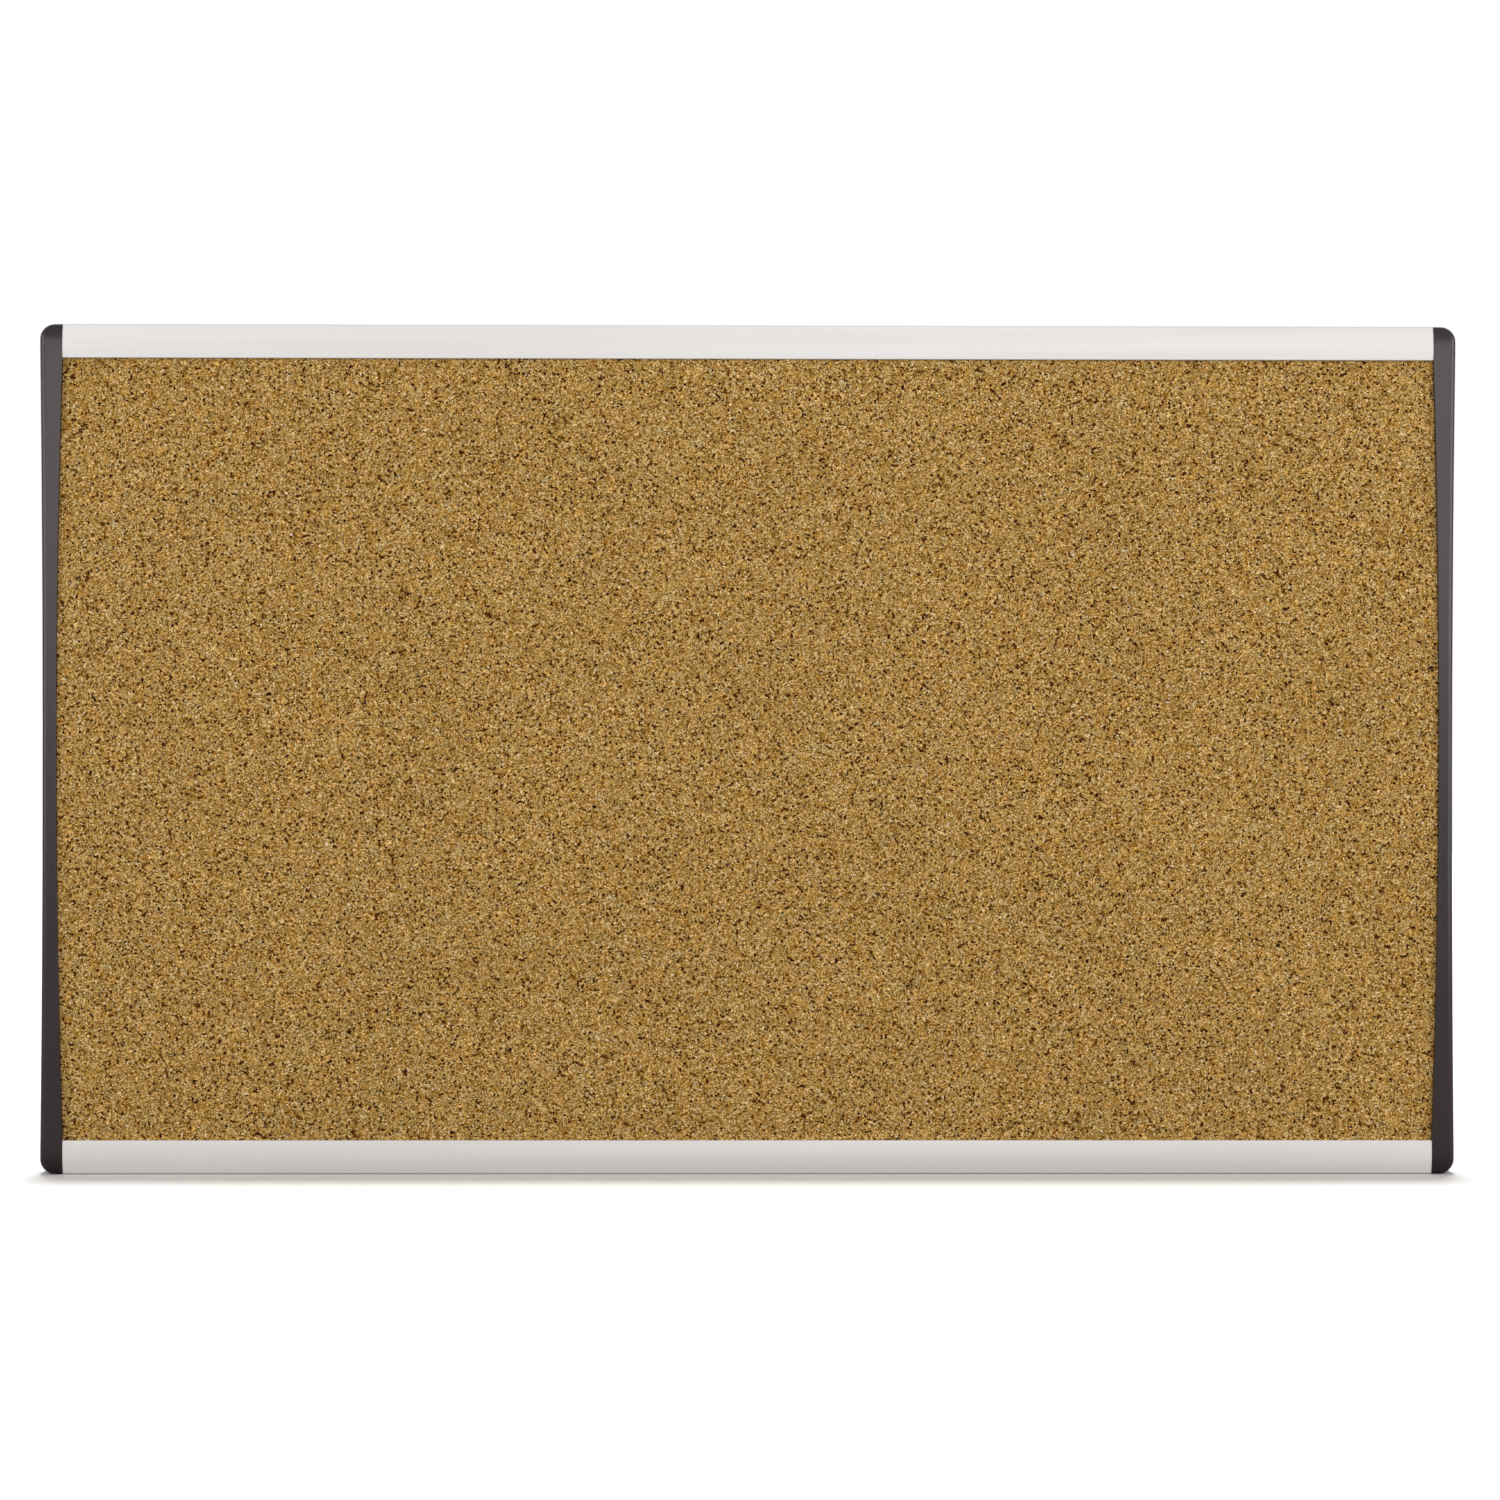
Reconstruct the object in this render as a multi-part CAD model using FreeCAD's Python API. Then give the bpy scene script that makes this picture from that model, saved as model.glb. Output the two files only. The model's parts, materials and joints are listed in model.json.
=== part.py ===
import FreeCAD, Part
import math
import os

# A wall-hung cork bulletin board: a laminated cork panel held between two aluminium rails
# and two moulded end caps, with two keyhole hangers that slide in the top rail's rear groove.
#
# Frame, in millimetres: X runs along the board, +Z is up and the board faces -Y. The wall is
# the plane y = 0, and the origin is midway between the two hangers' keyholes on that plane.
# Depth is measured from the wall towards the front, and inset from a board's top or bottom
# edge towards its middle.

# Outer size
BOARD_WIDTH = 762.0
BOARD_HEIGHT = 457.2
HANGING_INSET = 17.0

# Panel: three sheets, from the back forwards
PANEL_BACK = 7.2
BACKING_THICKNESS = 0.5
CORE_THICKNESS = 8.0
CORK_THICKNESS = 2.0
PANEL_INSET = 11.0
PANEL_SIDE_INSET = 5.0

# Rail extrusion
RAIL_HEIGHT = 18.3
RAIL_BACK = 2.0
RAIL_WEB_INSET = 28.2
RAIL_WALL = 1.2
CREST_INSET = 12.5
CREST_DEPTH = 20.1
CROWN_RADIUS = 45.0
RAIL_OUTER_ROUND = 1.3
RAIL_LIP_ROUND = 0.4

# Groove behind each rail
GROOVE_LIP = 1.2
GROOVE_FLOOR = 6.0
GROOVE_START = 2.0
GROOVE_END = 27.0
GROOVE_OPENING_START = 4.2
GROOVE_OPENING_END = 24.8

# Screw port inside each rail
PORT_INSET = 6.8
PORT_DEPTH = 11.4
PORT_RADIUS = 1.6
PORT_BOSS_RADIUS = 3.2

# End caps
CAP_WIDTH = 12.4
CAP_CORNER_RADIUS = 8.0
CAP_OUTER_WAIST = 1.1
CAP_INNER_WAIST = 3.5
CAP_INNER_BLEND_RADIUS = 60.0
CAP_PROUD = 0.4
CAP_MIDDLE_DEPTH = 19.6
CAP_OUTER_ROUND = 3.0
CAP_INNER_ROUND = 0.6
CAP_SCREW_SEAT = 7.0
CAP_COUNTERBORE_RADIUS = 3.9
CAP_SCREW_CLEARANCE_RADIUS = 2.1
SPIGOT_LENGTH = 10.0
SPIGOT_PLATES = (((1.5, 3.1), (7.6, 16.8)), ((3.1, 9.4), (14.8, 17.3)))
POCKET_COUNT = 9
POCKET_LENGTH = 40.0
POCKET_RIB = 4.0
POCKET_DEPTH = 3.2
POCKET_INNER = 7.3
POCKET_OUTER = 3.3
POCKET_ROUND = 1.0

# Cap screws
SCREW_LENGTH = 25.4
SCREW_SHANK_RADIUS = 1.55
SCREW_HEAD_RADIUS = 3.4
SCREW_HEAD_HEIGHT = 2.2
SCREW_HEAD_ROUND = 0.9
SCREW_POINT = 3.0
SCREW_TIP_RADIUS = 0.3
SCREW_SLOT = 0.9
SCREW_RECESS_REACH = 1.9
SCREW_RECESS_DEPTH = 1.4

# Hangers
HANGER_LENGTH = 44.0
HANGER_SPACING = 406.4
HANGER_THICKNESS = 1.5
HANGER_FLANGE_START = 2.2
HANGER_FLANGE_END = 26.8
HANGER_CROWN_START = 4.6
HANGER_CROWN_END = 24.4
HANGER_FLANGE_DEPTH = 4.9
HANGER_BEND_RADIUS = 1.8
HANGER_INNER_BEND_RADIUS = 0.3
HANGER_CORNER_RADIUS = 1.0
KEYHOLE_RADIUS = 4.5
KEYSLOT_RADIUS = 2.1
KEYSLOT_RISE = 7.0

# Bumpers in the bottom rail's groove
BUMPER_LENGTH = 30.0
BUMPER_CENTRE = 330.0
BUMPER_FLANGE_LENGTH = 36.0
BUMPER_CLEARANCE = 0.2
BUMPER_FLANGE_THICKNESS = 2.6
BUMPER_CORNER_RADIUS = 4.0
BUMPER_EDGE_ROUND = 0.6

# Derived
TOP_Z = HANGING_INSET
BOTTOM_Z = HANGING_INSET - BOARD_HEIGHT
MIDDLE_Z = (TOP_Z + BOTTOM_Z) / 2
HALF_WIDTH = BOARD_WIDTH / 2
HALF_HEIGHT = BOARD_HEIGHT / 2
SEAM_X = HALF_WIDTH - CAP_WIDTH
PANEL_HALF_WIDTH = HALF_WIDTH - PANEL_SIDE_INSET
CORK_BACK = PANEL_BACK + BACKING_THICKNESS + CORE_THICKNESS
CORK_FACE = CORK_BACK + CORK_THICKNESS
CROWN_CENTRE = CREST_DEPTH - CROWN_RADIUS
FAR = 60.0
OVERSHOOT = 1.0
TOUCHING = 0.01


def vector(x, depth, inset):
    """A point seen from a rail's outer edge, which is z = 0 until the piece is placed."""
    return FreeCAD.Vector(x, -depth, -inset)


def box(x, depth, z):
    """A block between the two limits given on each axis, with depth in place of y."""
    block = Part.makeBox(x[1] - x[0], depth[1] - depth[0], z[1] - z[0])
    block.translate(FreeCAD.Vector(x[0], -depth[1], z[0]))
    return block


def rail_box(x, depth, inset):
    """A block whose third pair of limits is the inset from the rail's outer edge."""
    return box(x, depth, (-inset[1], -inset[0]))


def rod(radius, x, depth, z):
    """A cylinder along X between two positions."""
    start = FreeCAD.Vector(x[0], -depth, z)
    return Part.makeCylinder(radius, x[1] - x[0], start, FreeCAD.Vector(1, 0, 0))


def line(start, end):
    return Part.LineSegment(start, end).toShape()


def arc(start, middle, end):
    return Part.Arc(start, middle, end).toShape()


def prism(edges, direction):
    """The solid swept by a closed planar outline."""
    return Part.Face(Part.Wire(edges)).extrude(direction)


def on_circle(centre, through, radius):
    """The point of a circle on the ray from its centre through another point."""
    ray = FreeCAD.Vector(through).sub(centre)
    return centre.add(ray.normalize().multiply(radius))


def edges_where(shape, test):
    """The edges whose every sampled point passes a test."""
    chosen = []
    for edge in shape.Edges:
        points = edge.discretize(5)
        if all(test(point) for point in points):
            chosen.append(edge)
    return chosen


def edges_along_depth(block):
    return [edge for edge in block.Edges if edge.BoundBox.YLength > edge.Length / 2]


def turned_over(shape):
    """The same piece turned half a turn about the board's front-to-back centre line."""
    other = shape.copy()
    other.rotate(FreeCAD.Vector(0, 0, MIDDLE_Z), FreeCAD.Vector(0, 1, 0), 180)
    return other


def placed_at_top(shape):
    placed = shape.copy()
    placed.translate(FreeCAD.Vector(0, 0, TOP_Z))
    return placed


# Panel

def sheet(back, thickness):
    return box(
        (-PANEL_HALF_WIDTH, PANEL_HALF_WIDTH),
        (back, back + thickness),
        (BOTTOM_Z + PANEL_INSET, TOP_Z - PANEL_INSET),
    )


# Rails

def crown_outline(wall, inner_inset):
    """Edges of the rail's side and crowned face, a wall's thickness inside its surface.

    They run from the web in front of the panel's back, up the outer side, over the rounding
    and along the crown to inner_inset. The last point is returned with them.
    """
    centre = vector(-SEAM_X, CROWN_CENTRE, CREST_INSET)
    reach = CROWN_RADIUS - RAIL_OUTER_ROUND
    rise = math.sqrt(reach ** 2 - (CREST_INSET - RAIL_OUTER_ROUND) ** 2)
    corner = vector(-SEAM_X, CROWN_CENTRE + rise, RAIL_OUTER_ROUND)
    radius = CROWN_RADIUS - wall
    round_start = vector(-SEAM_X, CROWN_CENTRE + rise, wall)
    round_end = on_circle(centre, corner, radius)
    round_middle = on_circle(corner, round_start.add(round_end).multiply(0.5), RAIL_OUTER_ROUND - wall)
    last_rise = math.sqrt(radius ** 2 - (inner_inset - CREST_INSET) ** 2)
    last = vector(-SEAM_X, CROWN_CENTRE + last_rise, inner_inset)
    face_middle = on_circle(centre, round_end.add(last).multiply(0.5), radius)
    edges = [arc(round_start, round_middle, round_end), arc(round_end, face_middle, last)]
    return round_start, edges, last


def rail_blank():
    """The extrusion's outer form, with the channel that holds the panel's edge."""
    reach = CROWN_RADIUS - RAIL_LIP_ROUND
    lip_inset = RAIL_HEIGHT - RAIL_LIP_ROUND
    rise = math.sqrt(reach ** 2 - (lip_inset - CREST_INSET) ** 2)
    lip_centre = vector(-SEAM_X, CROWN_CENTRE + rise, lip_inset)
    crown_centre = vector(-SEAM_X, CROWN_CENTRE, CREST_INSET)
    lip_start = on_circle(crown_centre, lip_centre, CROWN_RADIUS)
    lip_end = vector(-SEAM_X, CROWN_CENTRE + rise, RAIL_HEIGHT)
    lip_middle = on_circle(lip_centre, lip_start.add(lip_end).multiply(0.5), RAIL_LIP_ROUND)
    side_top, face, face_end = crown_outline(0.0, -lip_start.z)
    corners = [
        vector(-SEAM_X, CORK_FACE, RAIL_HEIGHT),
        vector(-SEAM_X, CORK_FACE, PANEL_INSET),
        vector(-SEAM_X, PANEL_BACK, PANEL_INSET),
        vector(-SEAM_X, PANEL_BACK, RAIL_WEB_INSET),
        vector(-SEAM_X, RAIL_BACK, RAIL_WEB_INSET),
        vector(-SEAM_X, RAIL_BACK, 0.0),
        side_top,
    ]
    edges = face + [arc(face_end, lip_middle, lip_end), line(lip_end, corners[0])]
    for start, end in zip(corners, corners[1:]):
        edges.append(line(start, end))
    return prism(edges, FreeCAD.Vector(2 * SEAM_X, 0, 0))


def rail_chamber():
    """The hollow between the outer side, the crown and the panel channel."""
    channel_wall = PANEL_INSET - RAIL_WALL
    side_top, face, face_end = crown_outline(RAIL_WALL, channel_wall)
    inner_corner = vector(-SEAM_X, PANEL_BACK, channel_wall)
    outer_corner = vector(-SEAM_X, PANEL_BACK, RAIL_WALL)
    walls = [line(face_end, inner_corner), line(inner_corner, outer_corner), line(outer_corner, side_top)]
    return prism(face + walls, FreeCAD.Vector(2 * SEAM_X, 0, 0))


def rail():
    """One length of the extrusion, as it lies along the board's top edge."""
    along = (-SEAM_X, SEAM_X)
    groove = rail_box(along, (RAIL_BACK + GROOVE_LIP, GROOVE_FLOOR), (GROOVE_START, GROOVE_END))
    mouth = rail_box(
        along, (RAIL_BACK, RAIL_BACK + GROOVE_LIP), (GROOVE_OPENING_START, GROOVE_OPENING_END)
    )
    boss = rod(PORT_BOSS_RADIUS, along, PORT_DEPTH, -PORT_INSET)
    port = rod(PORT_RADIUS, along, PORT_DEPTH, -PORT_INSET)
    body = rail_blank().cut(rail_chamber()).cut(groove).cut(mouth)
    body = body.fuse(boss).removeSplitter().cut(port)
    return placed_at_top(body)


# End caps

def waist_radius(offset, half_length, end_radius):
    """Radius of the arc that touches two equal end circles on their outside.

    offset is how far the arc's middle lies from the line through the circles' centres.
    """
    return (offset ** 2 + half_length ** 2 - end_radius ** 2) / (2 * (end_radius - offset))


def cap_front_view():
    """The cap's outline as seen from the front, swept through its whole depth."""
    middle_x = HALF_WIDTH - CAP_OUTER_WAIST
    corner_x = HALF_WIDTH - CAP_CORNER_RADIUS
    corner_rise = HALF_HEIGHT - CAP_CORNER_RADIUS
    waist = waist_radius(middle_x - corner_x, corner_rise, CAP_CORNER_RADIUS)
    waist_centre = FreeCAD.Vector(middle_x + waist, 0, MIDDLE_Z)
    inner_middle_x = SEAM_X + CAP_INNER_WAIST
    blend_x = SEAM_X + CAP_INNER_BLEND_RADIUS
    blend_rise = HALF_HEIGHT - RAIL_HEIGHT
    inner = waist_radius(blend_x - inner_middle_x, blend_rise, CAP_INNER_BLEND_RADIUS)
    inner_centre = FreeCAD.Vector(inner_middle_x - inner, 0, MIDDLE_Z)

    ends = []
    for side in (1, -1):
        corner = FreeCAD.Vector(corner_x, 0, MIDDLE_Z + side * corner_rise)
        top = FreeCAD.Vector(corner_x, 0, MIDDLE_Z + side * HALF_HEIGHT)
        touch = on_circle(corner, waist_centre, CAP_CORNER_RADIUS)
        turn = on_circle(corner, top.add(touch).multiply(0.5), CAP_CORNER_RADIUS)
        seam_top = FreeCAD.Vector(SEAM_X, 0, MIDDLE_Z + side * HALF_HEIGHT)
        seam_end = FreeCAD.Vector(SEAM_X, 0, MIDDLE_Z + side * blend_rise)
        blend_centre = FreeCAD.Vector(blend_x, 0, MIDDLE_Z + side * blend_rise)
        blend_end = on_circle(blend_centre, inner_centre, CAP_INNER_BLEND_RADIUS)
        blend_middle = on_circle(
            blend_centre, seam_end.add(blend_end).multiply(0.5), CAP_INNER_BLEND_RADIUS
        )
        ends.append((seam_top, top, turn, touch, seam_end, blend_middle, blend_end))

    edges = []
    for seam_top, top, turn, touch, seam_end, blend_middle, blend_end in ends:
        edges.append(line(seam_top, top))
        edges.append(arc(top, turn, touch))
        edges.append(line(seam_top, seam_end))
        edges.append(arc(seam_end, blend_middle, blend_end))
    upper, lower = ends
    edges.append(arc(upper[3], FreeCAD.Vector(middle_x, 0, MIDDLE_Z), lower[3]))
    edges.append(arc(upper[6], FreeCAD.Vector(inner_middle_x, 0, MIDDLE_Z), lower[6]))
    ordered = [edge for group in Part.sortEdges(edges) for edge in group]
    return prism(ordered, FreeCAD.Vector(0, -FAR, 0))


def cap_side_view():
    """The cap's outline as seen from the side: crowned ends joined by a long shallow waist."""
    radius = CROWN_RADIUS + CAP_PROUD
    rise = HALF_HEIGHT - CREST_INSET
    waist = waist_radius(CAP_MIDDLE_DEPTH - CROWN_CENTRE, rise, radius)
    waist_centre = FreeCAD.Vector(0, -(CAP_MIDDLE_DEPTH + waist), MIDDLE_Z)
    edge_depth = CROWN_CENTRE + math.sqrt(radius ** 2 - CREST_INSET ** 2)
    half_depth = CROWN_CENTRE + math.sqrt(radius ** 2 - (CREST_INSET / 2) ** 2)
    edges = []
    touches = []
    backs = []
    for side in (1, -1):
        crown = FreeCAD.Vector(0, -CROWN_CENTRE, MIDDLE_Z + side * rise)
        front = FreeCAD.Vector(0, -edge_depth, MIDDLE_Z + side * HALF_HEIGHT)
        shoulder = FreeCAD.Vector(0, -half_depth, MIDDLE_Z + side * (rise + CREST_INSET / 2))
        touch = on_circle(crown, waist_centre, radius)
        back = FreeCAD.Vector(0, -RAIL_BACK, MIDDLE_Z + side * HALF_HEIGHT)
        edges.append(line(back, front))
        edges.append(arc(front, shoulder, touch))
        touches.append(touch)
        backs.append(back)
    edges.append(arc(touches[0], FreeCAD.Vector(0, -CAP_MIDDLE_DEPTH, MIDDLE_Z), touches[1]))
    edges.append(line(backs[0], backs[1]))
    ordered = [edge for group in Part.sortEdges(edges) for edge in group]
    solid = prism(ordered, FreeCAD.Vector(2 * FAR, 0, 0))
    solid.translate(FreeCAD.Vector(HALF_WIDTH - FAR, 0, 0))
    return solid


def in_front(point):
    """Is a point of the cap on its front face?"""
    return -point.y > CORK_FACE


def cap_blank():
    """The cap's outer form with its front edges rounded."""
    blank = cap_front_view().common(cap_side_view())
    middle_of_cap = HALF_WIDTH - CAP_WIDTH / 2

    def on_outer_edge(point):
        on_end = abs(abs(point.z - MIDDLE_Z) - HALF_HEIGHT) < TOUCHING
        return in_front(point) and (point.x > middle_of_cap or on_end)

    def on_inner_edge(point):
        return in_front(point) and point.x < middle_of_cap

    blank = blank.makeFillet(CAP_OUTER_ROUND, edges_where(blank, on_outer_edge))
    inner = [edge for edge in edges_where(blank, on_inner_edge) if edge.BoundBox.ZLength > CAP_OUTER_ROUND]
    return blank.makeFillet(CAP_INNER_ROUND, inner)


def cap_end_features():
    """The spigots to add, and the screw hole to cut, at the cap's top end."""
    reach = (SEAM_X - SPIGOT_LENGTH, SEAM_X + OVERSHOOT)
    plates = [rail_box(reach, depth, inset) for inset, depth in SPIGOT_PLATES]
    spigot = plates[0].fuse(plates[1]).removeSplitter()
    seat = SEAM_X + CAP_SCREW_SEAT
    clearance = (SEAM_X - OVERSHOOT, seat + OVERSHOOT)
    hole = rod(CAP_SCREW_CLEARANCE_RADIUS, clearance, PORT_DEPTH, -PORT_INSET)
    head = rod(CAP_COUNTERBORE_RADIUS, (seat, HALF_WIDTH + OVERSHOOT), PORT_DEPTH, -PORT_INSET)
    return placed_at_top(spigot), placed_at_top(hole.fuse(head))


def cap_pockets():
    """Core-outs in the cap's back that keep its walls even."""
    pitch = POCKET_LENGTH + POCKET_RIB
    pockets = []
    for number in range(POCKET_COUNT):
        centre = MIDDLE_Z + (number - (POCKET_COUNT - 1) / 2) * pitch
        pocket = box(
            (HALF_WIDTH - POCKET_INNER, HALF_WIDTH - POCKET_OUTER),
            (RAIL_BACK - OVERSHOOT, RAIL_BACK + POCKET_DEPTH),
            (centre - POCKET_LENGTH / 2, centre + POCKET_LENGTH / 2),
        )
        pockets.append(pocket.makeFillet(POCKET_ROUND, edges_along_depth(pocket)))
    return pockets


def end_cap():
    """The right-hand cap. The left-hand one is the same moulding turned over."""
    slot = box(
        (SEAM_X - OVERSHOOT, PANEL_HALF_WIDTH),
        (PANEL_BACK, CORK_FACE),
        (BOTTOM_Z + PANEL_INSET, TOP_Z - PANEL_INSET),
    )
    cap = cap_blank().cut(slot)
    for pocket in cap_pockets():
        cap = cap.cut(pocket)
    spigot, hole = cap_end_features()
    mirror = (FreeCAD.Vector(0, 0, MIDDLE_Z), FreeCAD.Vector(0, 0, 1))
    cap = cap.fuse([spigot, spigot.mirror(*mirror)]).removeSplitter()
    return cap.cut(hole).cut(hole.mirror(*mirror))


# Cap screws

def cap_screw():
    """A pan-head self-tapping screw with a cross recess, seated in the right cap's top end."""
    seat = SEAM_X + CAP_SCREW_SEAT
    top = seat + SCREW_HEAD_HEIGHT
    tip = seat - SCREW_LENGTH
    head = rod(SCREW_HEAD_RADIUS, (seat, top), PORT_DEPTH, -PORT_INSET)
    rim = edges_where(head, lambda point: abs(point.x - top) < TOUCHING)
    head = head.makeFillet(SCREW_HEAD_ROUND, rim)
    for span in ((SCREW_RECESS_REACH, SCREW_SLOT / 2), (SCREW_SLOT / 2, SCREW_RECESS_REACH)):
        cross = rail_box(
            (top - SCREW_RECESS_DEPTH, top + OVERSHOOT),
            (PORT_DEPTH - span[0], PORT_DEPTH + span[0]),
            (PORT_INSET - span[1], PORT_INSET + span[1]),
        )
        head = head.cut(cross)
    overlap = SCREW_HEAD_HEIGHT - SCREW_RECESS_DEPTH
    shank = rod(SCREW_SHANK_RADIUS, (tip + SCREW_POINT, seat + overlap), PORT_DEPTH, -PORT_INSET)
    start = vector(tip, PORT_DEPTH, PORT_INSET)
    point = Part.makeCone(
        SCREW_TIP_RADIUS, SCREW_SHANK_RADIUS, SCREW_POINT, start, FreeCAD.Vector(1, 0, 0)
    )
    return placed_at_top(head.fuse([shank, point]).removeSplitter())


# Hangers

def hanger_blank():
    """The pressed hat section: two flanges in the groove and a crown that meets the wall."""
    half = HANGER_LENGTH / 2
    along = (-half, half)
    crown = rail_box(
        along, (0.0, HANGER_FLANGE_DEPTH), (HANGER_CROWN_START, HANGER_CROWN_END)
    )
    hollow = rail_box(
        along,
        (HANGER_THICKNESS, HANGER_FLANGE_DEPTH),
        (HANGER_CROWN_START + HANGER_THICKNESS, HANGER_CROWN_END - HANGER_THICKNESS),
    )
    flange = rail_box(
        along,
        (HANGER_FLANGE_DEPTH - HANGER_THICKNESS, HANGER_FLANGE_DEPTH),
        (HANGER_FLANGE_START, HANGER_FLANGE_END),
    )
    hat = crown.fuse(flange).removeSplitter().cut(hollow)
    bends = edges_where(hat, lambda point: abs(point.y) < TOUCHING)
    bends = [edge for edge in bends if edge.BoundBox.XLength > half]
    hat = hat.makeFillet(HANGER_BEND_RADIUS, bends)
    inner = edges_where(hat, lambda point: abs(-point.y - HANGER_THICKNESS) < TOUCHING)
    inner = [edge for edge in inner if edge.BoundBox.XLength > half]
    return hat.makeFillet(HANGER_INNER_BEND_RADIUS, inner)


def hanger():
    """A hanger at the middle of the top rail's groove."""
    blank = placed_at_top(hanger_blank())
    half = HANGER_LENGTH / 2

    def on_flange_corner(point):
        on_end = abs(abs(point.x) - half) < TOUCHING
        on_tip = abs(point.z - TOP_Z + HANGER_FLANGE_START) < TOUCHING
        on_foot = abs(point.z - TOP_Z + HANGER_FLANGE_END) < TOUCHING
        return on_end and (on_tip or on_foot)

    blank = blank.makeFillet(HANGER_CORNER_RADIUS, edges_where(blank, on_flange_corner))
    out = FreeCAD.Vector(0, -1, 0)
    start = FreeCAD.Vector(0, OVERSHOOT, 0)
    rise = FreeCAD.Vector(0, 0, KEYSLOT_RISE)
    entry = Part.makeCylinder(KEYHOLE_RADIUS, HANGER_FLANGE_DEPTH, start, out)
    end = Part.makeCylinder(KEYSLOT_RADIUS, HANGER_FLANGE_DEPTH, start.add(rise), out)
    through = (-OVERSHOOT, HANGER_FLANGE_DEPTH - OVERSHOOT)
    slot = box((-KEYSLOT_RADIUS, KEYSLOT_RADIUS), through, (0, KEYSLOT_RISE))
    return blank.cut(entry.fuse([end, slot]).removeSplitter())


# Bumpers

def bumper():
    """A rubber plug in the bottom rail's groove, whose pad stands against the wall."""
    half = BUMPER_LENGTH / 2
    half_flange = BUMPER_FLANGE_LENGTH / 2
    lip = RAIL_BACK + GROOVE_LIP
    pad = rail_box(
        (-half, half),
        (0.0, lip + BUMPER_FLANGE_THICKNESS / 2),
        (GROOVE_OPENING_START + BUMPER_CLEARANCE, GROOVE_OPENING_END - BUMPER_CLEARANCE),
    )
    pad = pad.makeFillet(BUMPER_CORNER_RADIUS, edges_along_depth(pad))
    rim = edges_where(pad, lambda point: abs(point.y) < TOUCHING)
    pad = pad.makeFillet(BUMPER_EDGE_ROUND, rim)
    flange = rail_box(
        (-half_flange, half_flange),
        (lip, lip + BUMPER_FLANGE_THICKNESS),
        (GROOVE_START + BUMPER_CLEARANCE, GROOVE_END - BUMPER_CLEARANCE),
    )
    plug = placed_at_top(pad.fuse(flange).removeSplitter())
    return turned_over(plug)


def moved(shape, x):
    copy = shape.copy()
    copy.translate(FreeCAD.Vector(x, 0, 0))
    return copy


def mirrored_top_to_bottom(shape):
    return shape.mirror(FreeCAD.Vector(0, 0, MIDDLE_Z), FreeCAD.Vector(0, 0, 1))


def build():
    """Every piece of the board by its node's name."""
    top_rail = rail()
    right_cap = end_cap()
    top_right_screw = cap_screw()
    bottom_right_screw = mirrored_top_to_bottom(top_right_screw)
    loose_hanger = hanger()
    loose_bumper = bumper()
    return {
        "backing_sheet": sheet(PANEL_BACK, BACKING_THICKNESS),
        "fibreboard_core": sheet(PANEL_BACK + BACKING_THICKNESS, CORE_THICKNESS),
        "cork_sheet": sheet(CORK_BACK, CORK_THICKNESS),
        "top_rail": top_rail,
        "bottom_rail": turned_over(top_rail),
        "right_end_cap": right_cap,
        "left_end_cap": turned_over(right_cap),
        "cap_screw_top_right": top_right_screw,
        "cap_screw_bottom_right": bottom_right_screw,
        "cap_screw_top_left": turned_over(bottom_right_screw),
        "cap_screw_bottom_left": turned_over(top_right_screw),
        "left_hanger": moved(loose_hanger, -HANGER_SPACING / 2),
        "right_hanger": moved(loose_hanger, HANGER_SPACING / 2),
        "left_bumper": moved(loose_bumper, -BUMPER_CENTRE),
        "right_bumper": moved(loose_bumper, BUMPER_CENTRE),
    }


os.makedirs("parts", exist_ok=True)
for name, shape in build().items():
    solids = shape.Solids
    print(f"{name}: solids {len(solids)}, valid {shape.isValid()}, volume {shape.Volume:.1f} mm3")
    solids[0].exportStep(f"parts/{name}.step")
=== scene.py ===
import json
import math

import bpy
import numpy as np
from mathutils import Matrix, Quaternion, Vector


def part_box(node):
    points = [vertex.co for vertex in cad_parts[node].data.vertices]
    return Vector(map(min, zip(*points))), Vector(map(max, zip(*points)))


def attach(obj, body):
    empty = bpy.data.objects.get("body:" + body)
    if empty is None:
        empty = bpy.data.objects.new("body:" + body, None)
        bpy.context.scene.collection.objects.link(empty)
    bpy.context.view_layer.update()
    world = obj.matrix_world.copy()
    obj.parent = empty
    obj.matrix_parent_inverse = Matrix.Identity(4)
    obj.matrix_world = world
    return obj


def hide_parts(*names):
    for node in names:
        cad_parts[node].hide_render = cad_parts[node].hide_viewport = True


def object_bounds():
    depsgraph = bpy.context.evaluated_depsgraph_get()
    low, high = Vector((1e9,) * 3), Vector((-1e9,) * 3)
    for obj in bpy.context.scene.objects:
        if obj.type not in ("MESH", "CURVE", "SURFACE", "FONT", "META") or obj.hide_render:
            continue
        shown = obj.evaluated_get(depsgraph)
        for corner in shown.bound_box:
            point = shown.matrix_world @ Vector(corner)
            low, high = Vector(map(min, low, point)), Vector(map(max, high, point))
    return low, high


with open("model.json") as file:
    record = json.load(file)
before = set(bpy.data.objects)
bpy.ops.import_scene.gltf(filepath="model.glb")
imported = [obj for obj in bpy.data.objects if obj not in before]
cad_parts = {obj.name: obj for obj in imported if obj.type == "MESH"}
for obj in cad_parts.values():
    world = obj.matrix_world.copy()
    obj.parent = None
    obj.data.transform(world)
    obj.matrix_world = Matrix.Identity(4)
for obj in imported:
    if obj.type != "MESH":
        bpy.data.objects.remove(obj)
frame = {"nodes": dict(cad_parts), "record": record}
cad_low, cad_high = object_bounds()

MM = 0.001
CENTRE = (cad_low + cad_high) / 2
WIDTH = cad_high.x - cad_low.x


# Camera: square on to the board's front, very slightly left of and above its centre

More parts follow.
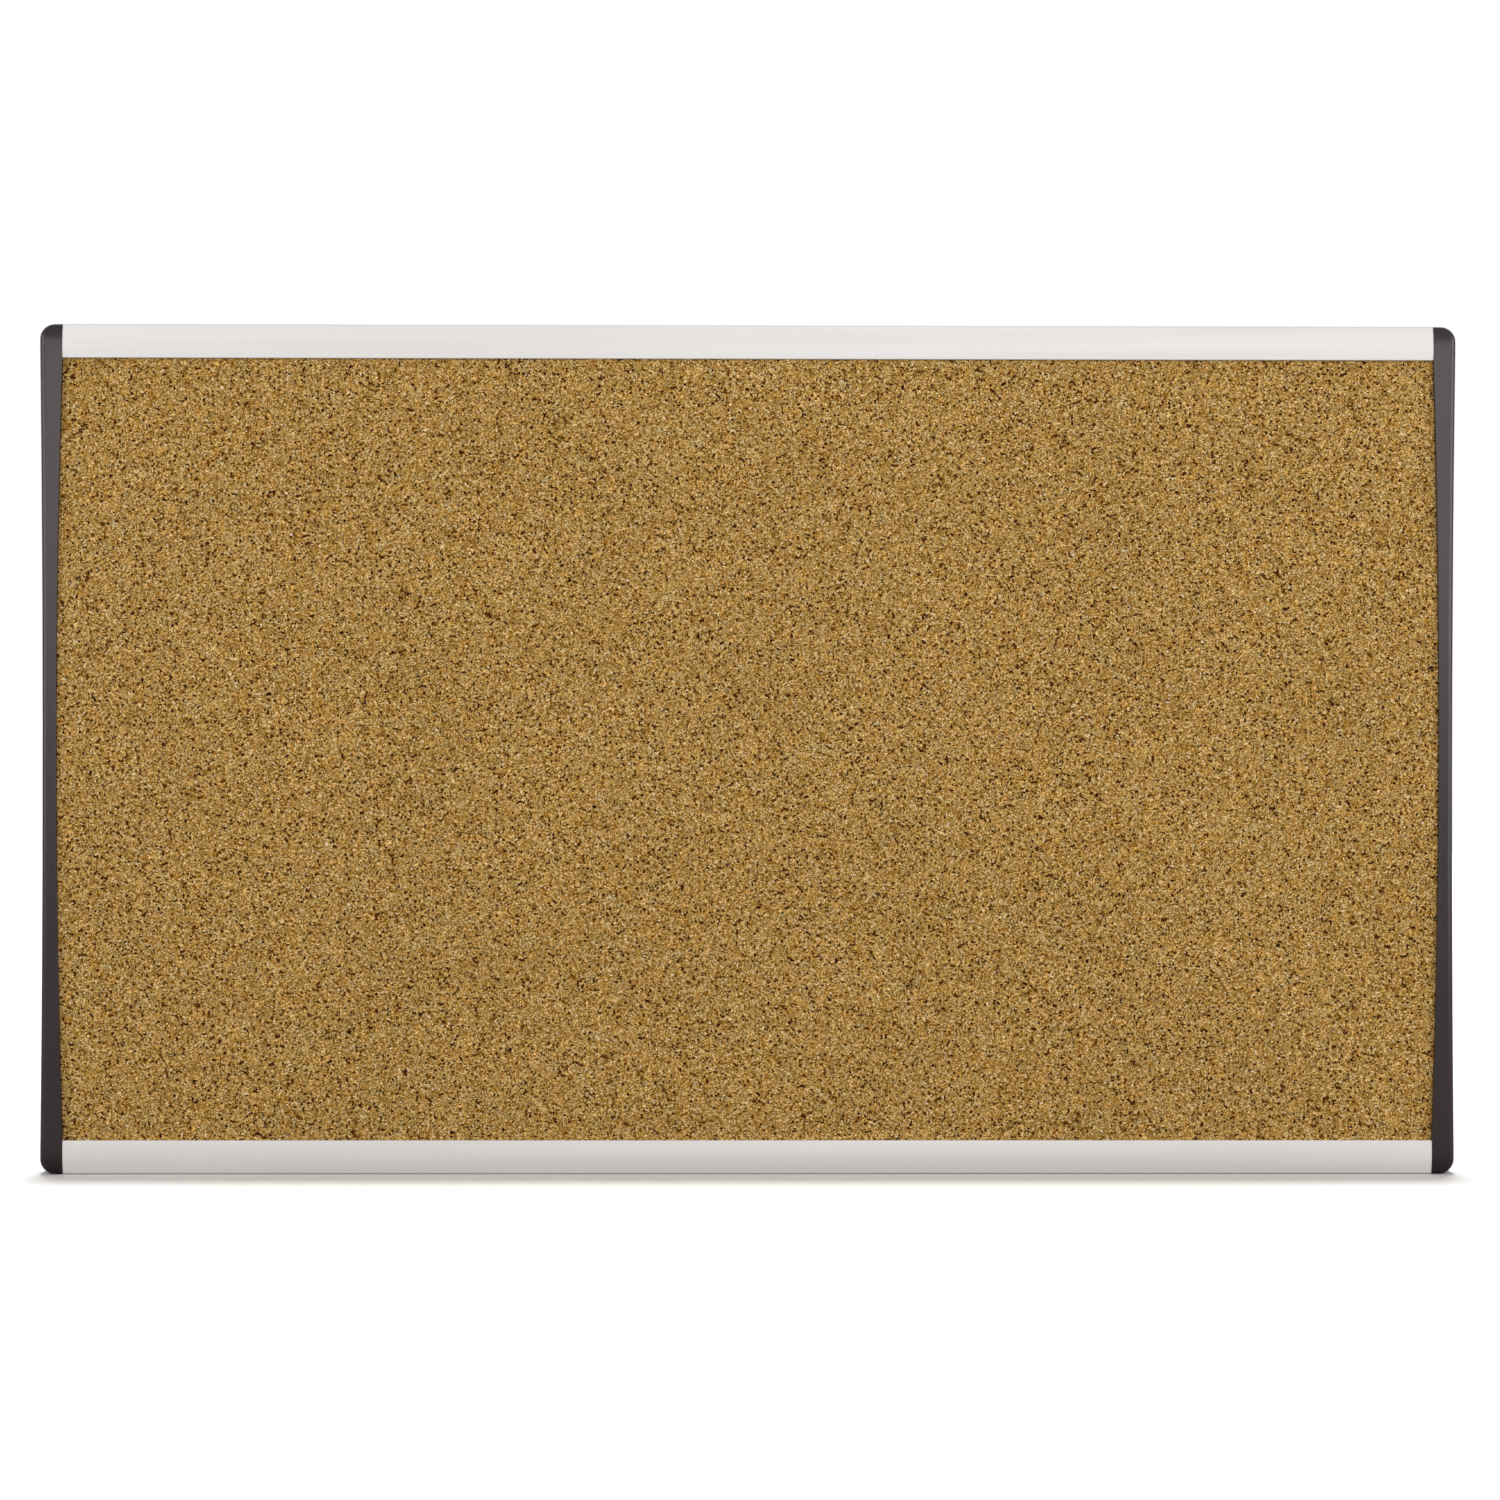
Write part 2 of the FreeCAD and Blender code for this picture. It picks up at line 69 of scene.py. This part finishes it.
CAMERA_DISTANCE = 1.6
CAMERA_LEFT = 14 * MM
CAMERA_UP = 7 * MM
CAMERA_ROLL = math.radians(0.06)
AIM_RIGHT = 0.6 * MM
FRAME_SHARE = 0.9447  # of the frame's width, which the board takes up
SENSOR = 36.0


def make_camera():
    data = bpy.data.cameras.new("camera")
    camera = bpy.data.objects.new("camera", data)
    bpy.context.scene.collection.objects.link(camera)
    aim = Vector((CENTRE.x + AIM_RIGHT, cad_low.y, CENTRE.z))
    place = aim + Vector((-CAMERA_LEFT, -CAMERA_DISTANCE, CAMERA_UP))
    data.sensor_width = SENSOR
    data.lens = SENSOR * CAMERA_DISTANCE * FRAME_SHARE / WIDTH
    camera.location = place
    camera.rotation_mode = "QUATERNION"
    look = (aim - place).to_track_quat("-Z", "Y")
    roll = Quaternion((0, 0, 1), CAMERA_ROLL)
    camera.rotation_quaternion = look @ roll
    bpy.context.scene.camera = camera


# Stage and light

WHITE = (1.0, 1.0, 1.0, 1.0)
FLOOR_SIZE = 9.0
FLOOR_COLOUR = (0.95, 0.95, 0.95, 1.0)
FLOOR_BOUNCE = (0.34, 0.34, 0.34, 1.0)
GLOW = 0.6
SOFTBOXES = (
    # name, place from the board's centre, width and height, radiance
    ("key", (0.1, -2.2, 0.48), (2.6, 0.9), 2.15),
    ("left", (-2.2, -1.27, 0.58), (1.75, 1.4), 2.55),
    ("right", (2.2, -1.27, 0.58), (1.75, 1.4), 3.4),
    ("back", (0.0, 2.2, 0.48), (2.6, 1.2), 2.0),
)
SUN_STRENGTH = 2.3
SUN_TILT = math.radians(4)
SUN_SOFTNESS = math.radians(5)


def join_by_ray(tree, light, look, output):
    """One shader for the light that a surface gives, and another for how it looks itself."""
    path = tree.nodes.new("ShaderNodeLightPath")
    mix = tree.nodes.new("ShaderNodeMixShader")
    tree.links.new(path.outputs["Is Camera Ray"], mix.inputs["Fac"])
    tree.links.new(light.outputs[0], mix.inputs[1])
    tree.links.new(look.outputs[0], mix.inputs[2])
    tree.links.new(mix.outputs[0], tree.nodes[output].inputs["Surface"])


def make_floor():
    """A pale floor that the board stands on. It looks white but throws back a third of its light."""
    half = FLOOR_SIZE / 2
    z = cad_low.z
    corners = [(-half, -half, z), (half, -half, z), (half, half, z), (-half, half, z)]
    mesh = bpy.data.meshes.new("floor")
    mesh.from_pydata(corners, [], [(0, 1, 2, 3)])
    floor = bpy.data.objects.new("floor", mesh)
    bpy.context.scene.collection.objects.link(floor)
    material = bpy.data.materials.new("floor")
    material.use_nodes = True
    tree = material.node_tree
    look = tree.nodes.new("ShaderNodeBsdfDiffuse")
    look.inputs["Color"].default_value = FLOOR_COLOUR
    bounce = tree.nodes.new("ShaderNodeBsdfDiffuse")
    bounce.inputs["Color"].default_value = FLOOR_BOUNCE
    join_by_ray(tree, bounce, look, "Material Output")
    mesh.materials.append(material)
    return floor


def make_world():
    """Plain white to look at, with an even, dimmer glow for light."""
    world = bpy.data.worlds.new("studio")
    bpy.context.scene.world = world
    world.use_nodes = True
    tree = world.node_tree
    glow = tree.nodes["Background"]
    glow.inputs["Color"].default_value = WHITE
    glow.inputs["Strength"].default_value = GLOW
    backdrop = tree.nodes.new("ShaderNodeBackground")
    backdrop.inputs["Color"].default_value = WHITE
    join_by_ray(tree, glow, backdrop, "World Output")


def light_object(data, place, towards):
    light = bpy.data.objects.new(data.name, data)
    light.location = place
    light.rotation_mode = "QUATERNION"
    light.rotation_quaternion = Vector(towards).to_track_quat("-Z", "Y")
    light.visible_camera = False
    bpy.context.scene.collection.objects.link(light)
    return light


def light_floor(light, floor, state):
    """Let a light shine on the floor alone, or on everything but the floor."""
    lit = bpy.data.collections.new(light.name + "_floor")
    lit.objects.link(floor)
    lit.collection_objects[0].light_linking.link_state = state
    light.light_linking.receiver_collection = lit


def make_studio():
    make_world()
    floor = make_floor()
    for name, place, size, radiance in SOFTBOXES:
        box = bpy.data.lights.new(name, "AREA")
        box.shape = "RECTANGLE"
        box.size, box.size_y = size
        box.energy = radiance * math.pi * size[0] * size[1]
        towards = -Vector(place)
        light_floor(light_object(box, CENTRE + Vector(place), towards), floor, "EXCLUDE")
    sun = bpy.data.lights.new("overhead", "SUN")
    sun.energy = SUN_STRENGTH
    sun.angle = SUN_SOFTNESS
    down = (0, -math.sin(SUN_TILT), -math.cos(SUN_TILT))
    light_floor(light_object(sun, CENTRE + Vector((0, 0, 1)), down), floor, "INCLUDE")
    bpy.context.scene.view_settings.view_transform = "Standard"


# Node helpers. Textures lie in the board's own space, so a scale is in waves or cells per metre.

BLACK = (0.0, 0.0, 0.0, 1.0)
NOISE_RANGE = (0.3, 0.7)  # nearly all of a noise's values lie between these
FLAT = 0.99  # the cosine between a face and its rounded version, above which it isn't an edge
BEVEL_SAMPLES = 6


def linear(red, green, blue):
    """A colour given in 0 to 255 as the screen shows it, as linear light by the sRGB curve."""
    light = []
    for value in (red, green, blue):
        share = value / 255
        light.append(share / 12.92 if share <= 0.04045 else ((share + 0.055) / 1.055) ** 2.4)
    return (*light, 1.0)


class Shader:
    """A material's node tree, with short ways to add and join its nodes."""

    def __init__(self, name):
        self.material = bpy.data.materials.new(name)
        self.material.use_nodes = True
        self.tree = self.material.node_tree
        self.surface = self.tree.nodes["Principled BSDF"]
        self.place = self.add("ShaderNodeTexCoord").outputs["Object"]

    def add(self, kind, inputs=None, **settings):
        node = self.tree.nodes.new(kind)
        for key, value in settings.items():
            setattr(node, key, value)
        for key, value in (inputs or {}).items():
            self.feed(node.inputs[key], value)
        return node

    def feed(self, socket, value):
        if isinstance(value, bpy.types.NodeSocket):
            self.tree.links.new(value, socket)
        else:
            socket.default_value = value

    def set(self, **inputs):
        """Fill the surface's inputs: base_color stands for its Base Color, and so on."""
        for key, value in inputs.items():
            self.feed(self.surface.inputs[key.replace("_", " ").title()], value)

    def noise(self, scale, detail, place=None):
        inputs = {"Vector": place or self.place, "Scale": scale, "Detail": detail}
        return self.add("ShaderNodeTexNoise", inputs)

    def speckle(self, scale, detail):
        """Noise with the same scale in every direction."""
        return self.noise(scale, detail).outputs["Fac"]

    def streaks(self, scales, detail):
        """Noise with its own scale along each of X, Y and Z."""
        stretched = self.add("ShaderNodeMapping", {"Vector": self.place, "Scale": scales})
        return self.noise(1.0, detail, stretched.outputs["Vector"]).outputs["Fac"]

    def cells(self, scale, place=None, feature="F1"):
        inputs = {"Vector": place or self.place, "Scale": scale}
        return self.add("ShaderNodeTexVoronoi", inputs, feature=feature)

    def draws(self, scale, place=None):
        """Three even random numbers for each cell, from 0 to 1."""
        colour = self.cells(scale, place).outputs["Color"]
        return self.add("ShaderNodeSeparateColor", {"Color": colour}).outputs

    def math(self, operation, first, second):
        node = self.add("ShaderNodeMath", operation=operation)
        self.feed(node.inputs[0], first)
        self.feed(node.inputs[1], second)
        return node.outputs[0]

    def plus(self, first, second):
        return self.math("ADD", first, second)

    def times(self, value, factor):
        return self.math("MULTIPLY", value, factor)

    def choose(self, factor, first, second):
        """The first number where the factor is 0, and the second where it is 1."""
        node = self.add("ShaderNodeMix", data_type="FLOAT")
        self.feed(node.inputs[0], factor)
        self.feed(node.inputs[2], first)
        self.feed(node.inputs[3], second)
        return node.outputs[0]

    def span(self, value, source, target=(0.0, 1.0)):
        """Stretch one range of numbers onto another, and stop at its ends."""
        inputs = {"Value": value, "From Min": source[0], "From Max": source[1]}
        inputs.update({"To Min": target[0], "To Max": target[1]})
        return self.add("ShaderNodeMapRange", inputs).outputs["Result"]

    def vary(self, noise, low, high):
        """A number that follows a noise from low to high."""
        return self.span(noise, NOISE_RANGE, (low, high))

    def ramp(self, value, stops):
        node = self.add("ShaderNodeValToRGB", {"Fac": value})
        elements = node.color_ramp.elements
        while len(elements) < len(stops):
            elements.new(1.0)
        for element, (position, colour) in zip(elements, stops):
            element.position = position
            element.color = colour
        return node.outputs["Color"]

    def grey_of(self, value):
        """A number as a grey, from black at 0 to white at 1 and above."""
        return self.ramp(value, [(0.0, BLACK), (1.0, WHITE)])

    def shades(self, noise, first, second, between=NOISE_RANGE):
        """A colour that follows a noise from the first to the second."""
        return self.ramp(noise, list(zip(between, (first, second))))

    def mix(self, factor, first, second, blend="MIX"):
        node = self.add("ShaderNodeMix", data_type="RGBA", blend_type=blend)
        self.feed(node.inputs[0], factor)
        self.feed(node.inputs[6], first)
        self.feed(node.inputs[7], second)
        return node.outputs[2]

    def tinted(self, colour, tint):
        return self.mix(1.0, colour, tint, "MULTIPLY")

    def bump(self, height, distance, strength, normal=None):
        inputs = {"Height": height, "Distance": distance, "Strength": strength}
        node = self.add("ShaderNodeBump", inputs)
        if normal is not None:
            self.feed(node.inputs["Normal"], normal)
        return node.outputs["Normal"]

    def edge_highlight(self, colour, highlight, radius, sharp, most):
        """Painted highlight: the colour, turned towards a paler highlight colour on its edges, as if
        they caught the light.

        On an edge whose cosine with its rounded version is sharp or less, the highlight colour's share
        is most.
        """
        rounded = self.add("ShaderNodeBevel", {"Radius": radius}, samples=BEVEL_SAMPLES)
        true_normal = self.add("ShaderNodeNewGeometry").outputs["Normal"]
        dot = self.add("ShaderNodeVectorMath", operation="DOT_PRODUCT")
        self.feed(dot.inputs[0], rounded.outputs["Normal"])
        self.feed(dot.inputs[1], true_normal)
        # painted highlight: the more an edge is rounded off, the paler it is painted
        highlight_share = self.span(dot.outputs["Value"], (FLAT, sharp))
        return self.mix(self.times(highlight_share, most), colour, highlight)


# Materials

CORK_TONES = (
    (0.00, (34, 7, 2)),
    (0.03, (66, 28, 2)),
    (0.08, (104, 62, 6)),
    (0.20, (134, 94, 27)),
    (0.42, (161, 123, 54)),
    (0.62, (181, 145, 76)),
    (0.82, (207, 172, 105)),
    (0.95, (229, 197, 132)),
    (1.00, (248, 222, 170)),
)
CORK_FINE = 1600  # granules per metre
CORK_COARSE = 1000
CORK_BARK = 820
CORK_PATCH = 420
CORK_WARP = 0.4 * MM  # how far a granule's outline wavers
CORK_WARP_SCALE = 900
CORK_DRIFT_SCALE = 160
CORK_CLOUD_SCALE = 14
CORK_GRAIN_SCALE = 4200
COARSE_ABOVE = 0.85  # a patch whose random number is above this has coarse granules
BARK_ABOVE = 0.925  # and a granule above this is bark
BARK_SHADE = 0.06  # the palest that bark is, as a place in the tones
GRANULE_WARMTH = 0.7  # the shares of a granule's own warmth and of its neighbourhood's
DRIFT_WARMTH = 0.3
COOL_TINT = (0.84, 1.01, 1.5, 1.0)
WARM_TINT = (1.18, 0.94, 0.55, 1.0)
# Painted shade in the gaps between granules: the cork is darkened towards each granule's edge.
GAP_SHADE_COLOUR = (0.2, 0.08, 0.0, 1.0)
GAP_SHADE_WIDTH = 0.10  # in granules
GAP_SHADE_TINT = 0.56  # the painted shade at a gap's middle, from 0, the full shade colour, to 1, no tint
CLOUD_TINTS = ((0.91, 0.91, 0.91, 1.0), (0.98, 0.98, 0.99, 1.0))
SLOPE_WIDTH = 0.25  # in granules: how far a granule's side slopes in from its seam
GRANULE_RISE = 0.6  # the heights of whole granules and of their grain, beside that slope's 1
GRAIN_RISE = 0.3
CORK_BUMP = 0.10 * MM
CORK_GLOSS = 0.08


def cork_material():
    """Pressed cork granules 0.6 to 1.2 mm across, with dark bark specks and painted dark brown shade in
    the thin gaps between them.
    """
    s = Shader("cork")
    warped = s.add("ShaderNodeVectorMath", operation="MULTIPLY_ADD")
    s.feed(warped.inputs[0], s.noise(CORK_WARP_SCALE, 1.0).outputs["Color"])
    s.feed(warped.inputs[1], (CORK_WARP, CORK_WARP, CORK_WARP))
    s.feed(warped.inputs[2], s.place)
    place = warped.outputs[0]
    fine = s.draws(CORK_FINE, place)
    coarse = s.draws(CORK_COARSE, place)
    bark = s.draws(CORK_BARK, place)
    use_coarse = s.math("GREATER_THAN", s.draws(CORK_PATCH, place)[0], COARSE_ABOVE)
    shade = s.choose(use_coarse, fine[0], coarse[0])
    is_bark = s.math("GREATER_THAN", bark[0], BARK_ABOVE)
    shade = s.choose(is_bark, shade, s.times(bark[1], BARK_SHADE))
    colour = s.ramp(shade, [(position, linear(*tone)) for position, tone in CORK_TONES])

    hue = s.choose(use_coarse, fine[2], coarse[2])
    drift = s.vary(s.speckle(CORK_DRIFT_SCALE, 3.0), 0.0, DRIFT_WARMTH)
    warmth = s.plus(s.times(hue, GRANULE_WARMTH), drift)
    colour = s.tinted(colour, s.ramp(warmth, [(0.0, COOL_TINT), (0.5, WHITE), (1.0, WARM_TINT)]))

    # Painted shade: darker towards each granule's edge, where the gaps between granules lie in shade.
    gap = s.cells(CORK_FINE, place, "DISTANCE_TO_EDGE").outputs["Distance"]
    gap_shade = s.span(gap, (0.0, GAP_SHADE_WIDTH), (GAP_SHADE_TINT, 1.0))
    colour = s.tinted(colour, s.ramp(gap_shade, [(0.0, GAP_SHADE_COLOUR), (1.0, WHITE)]))
    colour = s.tinted(colour, s.shades(s.speckle(CORK_CLOUD_SCALE, 3.0), *CLOUD_TINTS))

    grain = s.speckle(CORK_GRAIN_SCALE, 2.0)
    height = s.plus(s.times(fine[1], GRANULE_RISE), s.span(gap, (0.0, SLOPE_WIDTH)))
    height = s.plus(height, s.times(grain, GRAIN_RISE))
    s.set(base_color=colour, roughness=s.vary(grain, 0.72, 0.9), normal=s.bump(height, CORK_BUMP, 0.6))
    s.surface.inputs["Specular IOR Level"].default_value = CORK_GLOSS
    return s.material


def aluminium_material():
    """Satin anodised extrusion: faint lines along its length and a soft sheen."""
    s = Shader("anodised_aluminium")
    lines = s.streaks((6, 5200, 5200), 3.0)
    pores = s.speckle(5200, 2.0)
    tone = s.shades(s.streaks((3, 90, 90), 2.0), linear(214, 211, 208), linear(223, 220, 217))
    # Painted highlight: the rounded edges are painted paler, as if they caught the light.
    tone = s.edge_highlight(tone, linear(240, 239, 236), radius=0.5 * MM, sharp=0.80, most=0.35)
    tone = s.tinted(tone, s.grey_of(s.vary(lines, 0.975, 1.0)))
    height = s.plus(s.times(lines, 0.6), s.times(pores, 0.4))
    s.set(base_color=tone, metallic=0.15, roughness=s.vary(pores, 0.50, 0.60))
    s.set(normal=s.bump(height, 0.010 * MM, 0.6))
    return s.material


def graphite_material():
    """Moulded graphite plastic with a fine spark-eroded texture."""
    s = Shader("graphite_plastic")
    grain = s.speckle(2600, 3.0)
    tone = s.shades(s.speckle(22, 3.0), linear(34, 26, 26), linear(40, 31, 31))
    # Painted highlight: the rounded edges are painted a paler grey, as if they caught the light.
    tone = s.edge_highlight(tone, linear(92, 87, 88), radius=0.8 * MM, sharp=0.75, most=0.4)
    tone = s.tinted(tone, s.grey_of(s.span(grain, (0.35, 0.65), (0.90, 1.08))))
    s.set(base_color=tone, roughness=s.vary(grain, 0.20, 0.30), specular_tint=linear(255, 243, 244))
    s.set(normal=s.bump(grain, 0.03 * MM, 0.3))
    return s.material


def fibreboard_material():
    """Soft pressed wood fibre."""
    s = Shader("fibreboard")
    fibres = s.streaks((260, 1900, 900), 4.0)
    tone = s.shades(fibres, linear(118, 90, 58), linear(158, 126, 86))
    s.set(base_color=tone, roughness=0.9, normal=s.bump(fibres, 0.3 * MM, 0.7))
    return s.material


def kraft_material():
    """Brown kraft liner: long pale and dark fibres, faint cockling."""
    s = Shader("kraft_liner")
    fibres = s.plus(s.streaks((420, 900, 2600), 5.0), s.streaks((2400, 900, 500), 5.0))
    weave = s.times(fibres, 0.5)
    tone = s.shades(weave, linear(140, 106, 70), linear(172, 138, 98), between=(0.35, 0.65))
    tone = s.tinted(tone, s.shades(s.speckle(18, 4.0), (0.93, 0.92, 0.91, 1.0), (1.05, 1.05, 1.05, 1.0)))
    s.set(base_color=tone, roughness=s.vary(weave, 0.78, 0.9))
    rough = s.bump(weave, 0.06 * MM, 0.6)
    s.set(normal=s.bump(s.speckle(9, 2.0), 1.5 * MM, 0.5, rough))
    return s.material


def zinc_material():
    """Bright zinc plate on pressed steel, with spangle and faint rolling lines."""
    s = Shader("zinc_plated_steel")
    lines = s.streaks((30, 3000, 3000), 3.0)
    tone = s.shades(s.speckle(60, 3.0), linear(176, 180, 184), linear(206, 208, 208))
    # Painted highlight: the rounded edges are painted paler, as if they caught the light.
    tone = s.edge_highlight(tone, linear(232, 232, 230), radius=0.4 * MM, sharp=0.75, most=0.5)
    spangle = s.span(s.draws(420)[0], (0.0, 1.0), (0.24, 0.34))
    rough = s.plus(spangle, s.vary(lines, 0.0, 0.08))
    s.set(base_color=tone, metallic=1.0, roughness=rough, normal=s.bump(lines, 0.02 * MM, 0.5))
    return s.material


def rubber_material():
    """Moulded black rubber with a dusty bloom."""
    s = Shader("bumper_rubber")
    grain = s.speckle(1800, 3.0)
    tone = s.shades(s.speckle(160, 4.0), linear(26, 26, 27), linear(46, 45, 45), between=(0.35, 0.7))
    s.set(base_color=tone, roughness=s.vary(grain, 0.66, 0.82), normal=s.bump(grain, 0.05 * MM, 0.6))
    return s.material


def give_materials():
    """Every CAD node's surface takes the material of its slot in the record."""
    made = {
        "cork": cork_material(),
        "fibreboard": fibreboard_material(),
        "kraft_liner": kraft_material(),
        "anodised_aluminium": aluminium_material(),
        "graphite_plastic": graphite_material(),
        "zinc_plated_steel": zinc_material(),
        "bumper_rubber": rubber_material(),
    }
    for part in frame["record"]["subparts"]:
        node = frame["nodes"][part["node"]]
        for slot in node.material_slots:
            slot.material = made[part["material_slot"]]
    return made


# Cork sheet

CORK_PITCH = 2.0 * MM
CORK_JITTER = 0.32  # of the pitch, either way
CORK_RELIEF = 0.16 * MM
CORK_PIT = 0.30 * MM
PIT_ABOVE = 0.93  # a point whose random number is above this is sunk further, as a pit
CORK_SEED = 7


def cork_relief(low, high, across, up):
    """The front's points in rows from the bottom: jittered and sunk at random, but true at the rim."""
    random = np.random.default_rng(CORK_SEED)
    x, z = np.meshgrid(np.linspace(low.x, high.x, across + 1), np.linspace(low.z, high.z, up + 1))
    inside = np.zeros(x.shape)
    inside[1:-1, 1:-1] = 1.0
    x = x + inside * random.uniform(-CORK_JITTER, CORK_JITTER, x.shape) * CORK_PITCH
    z = z + inside * random.uniform(-CORK_JITTER, CORK_JITTER, x.shape) * CORK_PITCH
    depth = random.uniform(0.0, 1.0, x.shape) * CORK_RELIEF
    depth = depth + (random.uniform(0.0, 1.0, x.shape) > PIT_ABOVE) * CORK_PIT
    y = low.y + inside * depth
    return np.stack([x.ravel(), y.ravel(), z.ravel()], axis=1).tolist()


def cork_sheet(material):
    """The cork as a closed sheet whose front is a relief of granules and small pits."""
    low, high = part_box("cork_sheet")
    across = round((high.x - low.x) / CORK_PITCH)
    up = round((high.z - low.z) / CORK_PITCH)
    row = across + 1
    front = cork_relief(low, high, across, up)
    back_corners = ((low.x, low.z), (high.x, low.z), (high.x, high.z), (low.x, high.z))
    back = [(x, high.y, z) for x, z in back_corners]
    corners = [j * row + i for j in range(up) for i in range(across)]
    relief = [(corner, corner + 1, corner + row + 1, corner + row) for corner in corners]
    bottom = list(range(row))
    top = [up * row + i for i in bottom]
    left = [j * row for j in range(up + 1)]
    right = [j * row + across for j in range(up + 1)]
    low_left, low_right, high_right, high_left = range(len(front), len(front) + len(back))
    rim = [
        bottom[::-1] + [low_left, low_right],
        right[::-1] + [low_right, high_right],
        top + [high_right, high_left],
        left + [high_left, low_left],
        [high_left, high_right, low_right, low_left],
    ]
    mesh = bpy.data.meshes.new("cork_granule_sheet")
    mesh.from_pydata(front + back, [], relief + rim)
    mesh.polygons.foreach_set("use_smooth", [True] * len(relief) + [False] * len(rim))
    mesh.materials.append(material)
    sheet = bpy.data.objects.new("cork_granule_sheet", mesh)
    bpy.context.scene.collection.objects.link(sheet)
    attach(sheet, "frame")
    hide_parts("cork_sheet")


make_camera()
make_studio()
materials = give_materials()
cork_sheet(materials["cork"])
